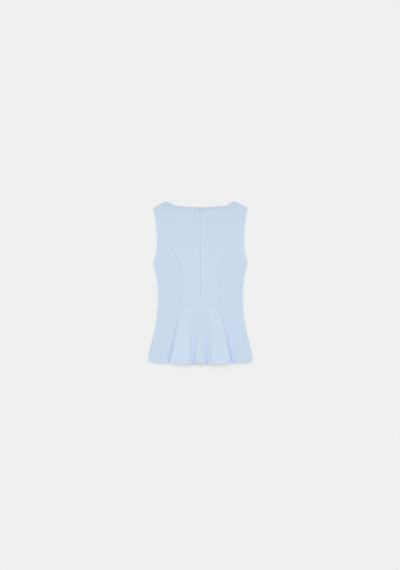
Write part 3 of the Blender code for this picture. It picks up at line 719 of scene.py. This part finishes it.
def makeFront(material):
    plan, seamLines, freeLines = frontCentrePlan()
    faces = frontFaces(plan, seamLines, freeLines, None, seed=41)
    clothPiece("crepe_front_centre", faces, "front_centre", material)
    faces = frontFaces(*frontSidePlan(), seed=42)
    clothPiece("crepe_front_side_right", faces, "front_side_right", material)
    clothPiece("crepe_front_side_left", mirrored(faces), "front_side_left", material)
    faces = frontFaces(*frontInsertPlan(), seed=43)
    clothPiece("crepe_front_peplum", faces, "front_peplum", material)
    print("front made")


# Zip: a closed coil, its slider and its pull

zipParts = {
    "low": 266.0,
    "sliderLow": 616.5,
    "sliderHigh": 624.4,
    "sliderWidth": 6.0,
    "sliderThick": 1.2,
    "clear": 0.3,             # between parts that move on each other
    "pitch": 0.8,             # of the coil
    "wire": 0.17,             # radius
    "coilReach": 1.25,        # of one coil from the middle
    "coilOverlap": 0.3,
    "coilHeight": 0.36,
    "tapeWidth": 5.2,
    "tapeThick": 0.3,
    "hingeHeight": 622.4,
    "loopInner": 1.0,
    "loopOuter": 2.0,
    "loopWidth": 1.2,
    "pullThick": 0.9,
    "pullLength": 13.4,
    "pullNeck": 1.9,
    "pullWide": 2.4,
    "eyeHalf": 1.0,
    "eyeEnd": 2.5,
}
backTop = garment["under"] + lie["centre"] + garment["wall"]      # of the cloth along the zip
hingeLevel = backTop + zipParts["clear"] + zipParts["loopOuter"]


def tubeFaces(count, sides, closed):
    # Quads round a tube of count rings; an open tube gets no caps here
    ring = np.arange(count - (not closed))[:, None] * sides
    k = np.arange(sides)[None]
    onward = (k + 1) % sides
    following = (ring + sides) % (count * sides)
    return np.stack([ring + k, ring + onward, following + onward, following + k], axis=-1).reshape(-1, 4)


def blockGrid(low, high):
    # Eight corners of a block and its six faces
    corners = np.array([(x, y, z) for z in (low[2], high[2]) for y in (low[1], high[1]) for x in (low[0], high[0])])
    return corners, np.array([(0, 2, 3, 1), (4, 5, 7, 6), (0, 1, 5, 4), (1, 3, 7, 5), (3, 2, 6, 7), (2, 0, 4, 6)])


def stacked(*meshes):
    # Several quad meshes as one
    points, faces, count = [], [], 0
    for piecePoints, pieceFaces in meshes:
        points.append(piecePoints)
        faces.append(pieceFaces + count)
        count += len(piecePoints)
    return np.vstack(points), np.vstack(faces)


def coil(side, perTurn=8, sides=5):
    # A flattened helix beside the middle, as a round wire that touches its twin's loops
    low, high = zipParts["low"], zipParts["sliderLow"] - zipParts["clear"] - 0.4
    turns = int((high - low) / zipParts["pitch"])
    angle = np.arange(turns * perTurn + 1) * 2.0 * math.pi / perTurn
    radius = 0.5 * (zipParts["coilReach"] + zipParts["coilOverlap"])
    centre = zipParts["coilReach"] - radius
    height = low + 0.4 + angle / (2.0 * math.pi) * zipParts["pitch"] + (0.5 * zipParts["pitch"] if side > 0 else 0.0)
    middleZ = garment["under"] + zipParts["tapeThick"] + zipParts["coilHeight"] + zipParts["wire"]
    path = np.column_stack([side * (centre + radius * np.cos(angle)), height,
                            middleZ + zipParts["coilHeight"] * 0.6 * np.sin(angle)])
    lead = np.gradient(path, axis=0)
    lead /= np.linalg.norm(lead, axis=1)[:, None]
    first = np.cross(lead, np.array([0.0, 1.0, 0.0]))
    first /= np.linalg.norm(first, axis=1)[:, None]
    second = np.cross(lead, first)
    turn = np.arange(sides) * 2.0 * math.pi / sides
    ring = (path[:, None] + zipParts["wire"] * (first[:, None] * np.cos(turn)[None, :, None]
                                                + second[:, None] * np.sin(turn)[None, :, None]))
    count = len(path)
    points = np.vstack([ring.reshape(-1, 3), path[:1], path[-1:]])
    k = np.arange(sides)
    startCap = np.column_stack([np.full(sides, count * sides), (k + 1) % sides, k, k])
    endCap = np.column_stack([np.full(sides, count * sides + 1), k, (k + 1) % sides, k]) + np.array(
        [0, (count - 1) * sides, (count - 1) * sides, (count - 1) * sides])
    return points, tubeFaces(count, sides, False), startCap[:, :3], endCap[:, :3]


def makeCoil(material):
    half = zipParts["tapeWidth"] / 2.0
    tape = blockGrid((-half, zipParts["low"], garment["under"] + 0.02),
                     (half, zipParts["sliderLow"] - zipParts["clear"], garment["under"] + zipParts["tapeThick"]))
    coils = [coil(side) for side in (-1, 1)]
    points, quads = stacked(tape, *[(made[0], made[1]) for made in coils])
    faces = quads.tolist()
    start = len(tape[0])
    for made in coils:
        faces += (made[2] + start).tolist() + (made[3] + start).tolist()
        start += len(made[0])
    mesh = bpy.data.meshes.new("zip_coil")
    mesh.from_pydata(toMetres(points).tolist(), [], faces)
    mesh.validate()
    mesh.materials.append(material)
    thing = bpy.data.objects.new("zip_coil", mesh)
    bpy.context.scene.collection.objects.link(thing)
    fixNormals(thing)
    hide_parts("zip_chain")
    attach(thing, "garment")
    print("zip coil made")


def fixNormals(thing):
    import bmesh
    shape = bmesh.new()
    shape.from_mesh(thing.data)
    bmesh.ops.recalc_face_normals(shape, faces=shape.faces)
    shape.to_mesh(thing.data)
    shape.free()


def roundedBlock(low, high, radius, segments=3):
    # A block whose edges are bevelled round
    import bmesh
    corners, faces = blockGrid(low, high)
    shape = bmesh.new()
    made = [shape.verts.new(corner) for corner in corners]
    for face in faces:
        shape.faces.new([made[k] for k in face])
    bmesh.ops.bevel(shape, geom=shape.edges[:], offset=radius, segments=segments, profile=0.5, affect="EDGES")
    bmesh.ops.triangulate(shape, faces=shape.faces)
    shape.verts.index_update()
    points = np.array([vert.co for vert in shape.verts])
    triangles = np.array([[vert.index for vert in face.verts] for face in shape.faces])
    shape.free()
    return points, triangles


def loopRing(count=48, sides=14):
    # A torus across the garment: ring radius between the loop's inner and outer, oval section
    turn = np.arange(count) * 2.0 * math.pi / count
    angle = np.arange(sides) * 2.0 * math.pi / sides
    middle = 0.5 * (zipParts["loopInner"] + zipParts["loopOuter"])
    thick = 0.5 * (zipParts["loopOuter"] - zipParts["loopInner"])
    reach = middle + thick * np.sign(np.cos(angle)) * np.abs(np.cos(angle)) ** 0.7
    across = 0.5 * zipParts["loopWidth"] * np.sign(np.sin(angle)) * np.abs(np.sin(angle)) ** 0.7
    x = np.broadcast_to(across[None], (count, sides))
    points = np.stack([x, zipParts["hingeHeight"] + reach[None] * np.cos(turn)[:, None],
                       hingeLevel + reach[None] * np.sin(turn)[:, None]], axis=-1).reshape(-1, 3)
    return points, tubeFaces(count, sides, True)


def makeSlider(material):
    half = zipParts["sliderWidth"] / 2.0
    body = roundedBlock((-half, zipParts["sliderLow"], garment["under"]),
                        (half, zipParts["sliderHigh"], garment["under"] + zipParts["sliderThick"]), 0.42)
    stem = roundedBlock((-0.5, zipParts["hingeHeight"] - 1.7, garment["under"] + 0.6),
                        (0.5, zipParts["hingeHeight"] + 1.7, hingeLevel - 1.5), 0.15)
    ringPoints, ringQuads = loopRing()
    ringTriangles = np.vstack([ringQuads[:, :3], ringQuads[:, [0, 2, 3]]])
    points, faces = stacked(body, stem, (ringPoints, ringTriangles))
    thing = newMesh("zip_slider_body", toMetres(points), faces, material)
    fixNormals(thing)
    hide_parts("zip_slider")
    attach(thing, "garment")
    print("slider made")


def pullLoops(count=64):
    # Outer outline and eye of the tab, in its own plane, read at the same angles round the eye's middle
    start = -zipParts["pullThick"] / 2.0
    wide, end = zipParts["pullWide"], zipParts["pullLength"]
    turn = np.linspace(0.0, math.pi, 13)
    tip = np.column_stack([wide * np.cos(turn), end - wide + wide * np.sin(turn)])
    right = [(zipParts["pullNeck"] - 0.5, start), (zipParts["pullNeck"], start + 0.5), (zipParts["pullNeck"], 3.6)]
    outer = np.vstack([right, tip, [(-x, y) for x, y in right[::-1]]])
    outer = np.vstack([outer, outer[:1]])
    low, high, half = zipParts["pullThick"] / 2.0, zipParts["eyeEnd"], zipParts["eyeHalf"]
    eye = np.array([(half - 0.25, low), (half, low + 0.25), (half, high - 0.4), (half - 0.4, high),
                    (0.4 - half, high), (-half, high - 0.4), (-half, low + 0.25), (0.25 - half, low),
                    (half - 0.25, low)])
    marks = np.linspace(0.0, 1.0, count, endpoint=False)
    loops = []
    for line in (eye, outer):
        length = lineLength(line)
        loops.append(np.column_stack([np.interp(marks * length[-1], length, line[:, k]) for k in (0, 1)]))
    return loops


def makePull(material):
    # The section runs from the eye out over the upper face to the rim and back under, with rounded ends
    eye, outer = pullLoops()
    reach = np.linalg.norm(outer - eye, axis=1)[:, None]
    half, soft = zipParts["pullThick"] / 2.0, 0.3
    turn = np.linspace(0.0, math.pi / 2.0, 5)
    corner = soft * (1.0 - np.cos(turn))
    lift = half - soft + soft * np.sin(turn)
    ends = np.concatenate([corner, np.full(4, np.nan), -corner[::-1]])
    inner = np.linspace(0.0, 1.0, 6)[1:-1]
    inward = np.where(np.isnan(ends)[None], 0.0, ends[None])
    share = np.concatenate([np.zeros(5), inner, np.ones(5)])[None]
    size = np.minimum(1.0, reach / (2.5 * soft))
    place = share * reach + inward * size
    upper = np.concatenate([lift, np.full(4, half), lift[::-1]])[None]
    section = np.concatenate([place, place[:, ::-1]], axis=1) / reach
    z = np.concatenate([upper, -upper[:, ::-1]], axis=1) + np.zeros_like(section)
    flat = eye[:, None] + section[..., None] * (outer - eye)[:, None]
    count, sides = section.shape
    drop = hingeLevel - half - (backTop + zipParts["clear"])
    tip = math.asin(drop / zipParts["pullLength"])
    y = -flat[..., 1] * math.cos(tip) - z * math.sin(tip)
    height = -flat[..., 1] * math.sin(tip) + z * math.cos(tip)
    points = np.stack([flat[..., 0], zipParts["hingeHeight"] + y, hingeLevel + height], axis=-1).reshape(-1, 3)
    thing = newMesh("zip_pull_tab", toMetres(points), tubeFaces(count, sides, True), material)
    fixNormals(thing)
    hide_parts("zip_pull")
    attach(thing, "pull_tab")
    print("pull made")


# Materials

class Wire:
    # A shader value: wraps an output socket, so that sums and products add their Math nodes
    def __init__(self, maker, socket):
        self.maker, self.socket = maker, socket

    def math(self, operation, first, second=None):
        values = {0: first} if second is None else {0: first, 1: second}
        return self.maker.node("ShaderNodeMath", {"operation": operation}, values)

    def __add__(self, other): return self.math("ADD", self, other)
    def __radd__(self, other): return self.math("ADD", other, self)
    def __sub__(self, other): return self.math("SUBTRACT", self, other)
    def __rsub__(self, other): return self.math("SUBTRACT", other, self)
    def __mul__(self, other): return self.math("MULTIPLY", self, other)
    def __rmul__(self, other): return self.math("MULTIPLY", other, self)
    def __truediv__(self, other): return self.math("DIVIDE", self, other)
    def __rtruediv__(self, other): return self.math("DIVIDE", other, self)
    def __pow__(self, other): return self.math("POWER", self, other)
    def __neg__(self): return self.math("MULTIPLY", self, -1.0)
    def sine(self): return self.math("SINE", self)


class Finish:
    # One material and its nodes
    def __init__(self, name, viewColour):
        self.material = bpy.data.materials.new(name)
        self.material.use_nodes = True
        self.material.diffuse_color = (*viewColour, 1.0)
        self.nodes = self.material.node_tree.nodes
        self.links = self.material.node_tree.links
        self.shader = self.nodes["Principled BSDF"]

    def node(self, kind, settings=None, values=None, output=0):
        made = self.nodes.new(kind)
        for key, value in (settings or {}).items():
            setattr(made, key, value)
        for key, value in (values or {}).items():
            self.put(made.inputs[key], value)
        return Wire(self, made.outputs[output])

    def put(self, socket, value):
        if isinstance(value, Wire):
            self.links.new(value.socket, socket)
        else:
            socket.default_value = value

    def mixed(self, factor, first, second):
        # Colours go through a Mix node; its colour sockets are 6 and 7, its colour result is 2
        return self.node("ShaderNodeMix", {"data_type": "RGBA"}, {0: factor, 6: (*first, 1.0), 7: (*second, 1.0)}, 2)

    def noise(self, place, scale, detail=2.0, roughness=0.5):
        return self.node("ShaderNodeTexNoise", {"noise_dimensions": "3D"},
                         {"Vector": place, "Scale": scale, "Detail": detail, "Roughness": roughness})

    def done(self, values):
        for key, value in values.items():
            self.put(self.shader.inputs[key], value)
        return self.material


crepe = {
    "colour": (0.553, 0.660, 0.787),
    # the darker colour of the cloth's random mottle
    "mottleAndPaintedShade": (0.512, 0.623, 0.755),
    "threadPitch": 0.00042,   # metres between threads
    "grain": 1500.0,
    "roughness": 0.82,
    "sheen": 0.18,
    "paintedShadeDepth": 0.037,          # how much darker the painted shade makes the cloth where it is deepest
}


def makeCrepe(name, paintedLightLow, paintedLightHigh, paintedLightFrom=0.07, paintedLightTo=0.31):
    # Painted light and shade: each piece's colour is scaled by its own factor, which runs from one value to another
    # along y, so the centre backs are painted darker towards the neck and the peplum insert lighter, as the light falls
    # on them
    finish = Finish(name, crepe["colour"])
    place = finish.node("ShaderNodeTexCoord", output=3)
    parts = finish.nodes.new("ShaderNodeSeparateXYZ")
    finish.put(parts.inputs[0], place)
    x, y = Wire(finish, parts.outputs[0]), Wire(finish, parts.outputs[1])
    turn = 2.0 * math.pi / crepe["threadPitch"]
    wander = finish.noise(place, 160.0, 1.0) * 1.4
    weave = (x * turn + wander).sine() * (y * turn + wander).sine()
    grain = finish.noise(place, crepe["grain"], 3.0, 0.6)
    height = grain * 0.7 + weave * 0.25
    cloudy = finish.noise(place, 9.0, 3.0, 0.55)
    shade = cloudy * 0.55 + grain * 0.35 - 0.15
    colour = finish.mixed(shade, crepe["colour"], crepe["mottleAndPaintedShade"])
    # Painted light: a brightness factor along y, going from one value to the other between two heights
    tone = finish.node("ShaderNodeMapRange", None, {0: y, 1: paintedLightFrom, 2: paintedLightTo, 3: paintedLightLow, 4: paintedLightHigh})
    # Painted shade: darker along the neck edge and in the middle of the peplum, where shade falls
    mottleAndPaintedShade = finish.node("ShaderNodeAttribute", {"attribute_name": "mottleAndPaintedShade"}, output=2)
    colour = finish.node("ShaderNodeVectorMath", {"operation": "SCALE"}, {0: colour, 3: tone - crepe["paintedShadeDepth"] * mottleAndPaintedShade})
    # Painted blue tint of shade: red and green a little lower, blue higher, beside the flutes and in their valleys
    paintedBlueShade = finish.node("ShaderNodeAttribute", {"attribute_name": "paintedBlueShade"}, output=2)
    tint = finish.node("ShaderNodeCombineXYZ", None, {0: 1.0 - 0.008 * paintedBlueShade, 1: 1.0 - 0.003 * paintedBlueShade, 2: 1.0 + 0.044 * paintedBlueShade})
    colour = finish.node("ShaderNodeVectorMath", {"operation": "MULTIPLY"}, {0: colour, 1: tint})
    bump = finish.node("ShaderNodeBump", None, {"Strength": 0.35, "Distance": 0.00012, "Height": height})
    return finish.done({
        "Base Color": colour,
        "Roughness": 0.06 * grain + (crepe["roughness"] - 0.03),
        "Normal": bump,
        "Sheen Weight": crepe["sheen"],
        "Sheen Roughness": 0.45,
        "Specular IOR Level": 0.25,
    })


zipFinish = {
    "coil": (0.430, 0.535, 0.665),
    "coilDeep": (0.330, 0.430, 0.560),
    "paint": (0.535, 0.642, 0.772),
    "paintWorn": (0.575, 0.670, 0.780),
}


def makeCoilFinish():
    finish = Finish("zip_coil_nylon", zipFinish["coil"])
    place = finish.node("ShaderNodeTexCoord", output=3)
    cloudy = finish.noise(place, 900.0, 2.0)
    bump = finish.node("ShaderNodeBump", None, {"Strength": 0.2, "Distance": 0.0001, "Height": cloudy})
    return finish.done({"Base Color": finish.mixed(cloudy, zipFinish["coil"], zipFinish["coilDeep"]),
                        "Roughness": 0.1 * cloudy + 0.45, "Normal": bump})


def makePaintFinish():
    finish = Finish("zip_satin_paint", zipFinish["paint"])
    place = finish.node("ShaderNodeTexCoord", output=3)
    cloudy = finish.noise(place, 420.0, 3.0)
    speck = finish.noise(place, 2600.0, 2.0)
    bump = finish.node("ShaderNodeBump", None, {"Strength": 0.12, "Distance": 0.00005, "Height": speck})
    return finish.done({"Base Color": finish.mixed(cloudy * 0.5, zipFinish["paint"], zipFinish["paintWorn"]),
                        "Roughness": 0.14 * cloudy + 0.3, "Normal": bump, "Coat Weight": 0.15})


# Table, light and camera

studio = {
    "floor": (0.80, 0.80, 0.80),
    "floorSize": 14.0,
    "world": 0.27,
    "lights": {
        "left_softbox": (180.0, 25.0, 38.0, 0.155),
        "right_softbox": (0.0, 25.0, 38.0, 0.155),
        "neck_softbox": (90.0, 44.0, 36.0, 0.115),
        "hem_softbox": (270.0, 50.0, 40.0, 0.125),
        "overhead_softbox": (270.0, 84.0, 60.0, 0.27),
    },
    "metresPerPixel": 0.004,  # of the photo's frame, at the table
    "frameWide": 400.0,
    "frameTall": 570.0,
    "middleX": 200.4,         # the garment's middle and half its length in that frame
    "middleY": 282.9,
    "distance": 6.0,
    "sensor": 36.0,
}


def makeFloor():
    finish = Finish("pale_table", studio["floor"])
    place = finish.node("ShaderNodeTexCoord", output=3)
    cloudy = finish.noise(place, 3.0, 2.0)
    material = finish.done({"Base Color": finish.mixed(cloudy, studio["floor"], (0.795, 0.795, 0.797)),
                            "Roughness": 0.9, "Specular IOR Level": 0.2})
    half = studio["floorSize"] / 2.0
    points = np.array([(-half, -half, -0.0003), (half, -half, -0.0003), (half, half, -0.0003), (-half, half, -0.0003)])
    floor = newMesh("table_top", points, np.array([[0, 1, 2, 3]]), material, smooth=False)


def makeLight(name, side, tall, spread, share):
    # A broad soft light from far off: side is its azimuth from +X, tall its elevation, spread how wide it looks,
    # all in degrees; share is what it adds to the brightness of a white table
    light = bpy.data.lights.new(name, "SUN")
    light.angle = math.radians(spread)
    light.energy = share * math.pi / math.sin(math.radians(tall))
    thing = bpy.data.objects.new(name, light)
    thing.rotation_euler = (math.radians(90.0 - tall), 0.0, math.radians(side + 90.0))
    bpy.context.scene.collection.objects.link(thing)


def makeLights():
    world = bpy.data.worlds.new("soft_room")
    world.use_nodes = True
    world.node_tree.nodes["Background"].inputs["Color"].default_value = (1.0, 1.0, 1.0, 1.0)
    world.node_tree.nodes["Background"].inputs["Strength"].default_value = studio["world"]
    bpy.context.scene.world = world
    for name, setting in studio["lights"].items():
        makeLight(name, *setting)
    bpy.context.scene.view_settings.view_transform = "Standard"


def makeCamera():
    camera = bpy.data.cameras.new("photo_camera")
    camera.type = "PERSP"
    camera.sensor_width = studio["sensor"]
    camera.lens = studio["sensor"] * studio["distance"] / (studio["frameTall"] * studio["metresPerPixel"])
    thing = bpy.data.objects.new("photo_camera", camera)
    thing.location = ((studio["frameWide"] / 2.0 - studio["middleX"]) * studio["metresPerPixel"],
                      (studio["middleY"] - studio["frameTall"] / 2.0) * studio["metresPerPixel"],
                      studio["distance"])
    bpy.context.scene.collection.objects.link(thing)
    bpy.context.scene.camera = thing


makeCamera()
makeLights()
makeFloor()
# Lit and shaded copies of one crepe: each pair is a piece's painted light factor at the lower and the upper end of its
# span
makeCentreBacks(makeCrepe("crepe_centre", 1.011, 0.968))
makeSideBacks(makeCrepe("crepe_sides", 0.990, 0.990))
makeInsert(makeCrepe("crepe_insert", 1.022, 1.010, -0.19, -0.09))
makeFront(makeCrepe("crepe_front", 0.99, 0.99))
makeCoil(makeCoilFinish())
paint = makePaintFinish()
makeSlider(paint)
makePull(paint)
